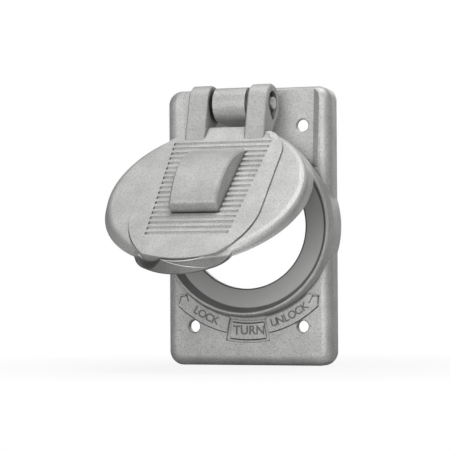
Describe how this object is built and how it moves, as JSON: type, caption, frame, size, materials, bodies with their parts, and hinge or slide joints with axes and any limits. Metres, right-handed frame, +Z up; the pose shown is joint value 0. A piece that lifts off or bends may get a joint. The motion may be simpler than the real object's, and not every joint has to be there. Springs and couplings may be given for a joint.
{
  "type": "weatherproof lift cover",
  "caption": "Die-cast rectangular cover plate with a round collar and a hinged round lid that lifts to open the socket recess.",
  "frame": {"origin": "on the axis of the round opening, at the middle of the four screws, in the plane of the face's inner side where the screw holes end", "axes": "+X to the right and +Z up as the plate stands on the wall, +Y into the wall; the hinge runs along X"},
  "size_m": [0.0848, 0.0952, 0.116],
  "materials": {
    "cast_plate": "fine grained as-cast",
    "cast_lid": "fine grained as-cast",
    "pin_metal": "drawn",
    "spring_steel": "dark oiled",
    "rubber": "matte"
  },
  "bodies": {
    "plate": {"cover_plate": "cast_plate", "box_seal": "rubber", "washer_left": "spring_steel", "washer_right": "spring_steel"},
    "lid": {"lid": "cast_lid", "lid_seal": "rubber", "hinge_pin": "pin_metal"}
  },
  "joints": [
    {"name": "lid_hinge", "type": "hinge", "parent": "plate", "child": "lid", "pos_m": [0, -0.0192, 0.0497], "axis": [-1, 0, 0], "range_deg": [-49.8, 130.2]}
  ]
}
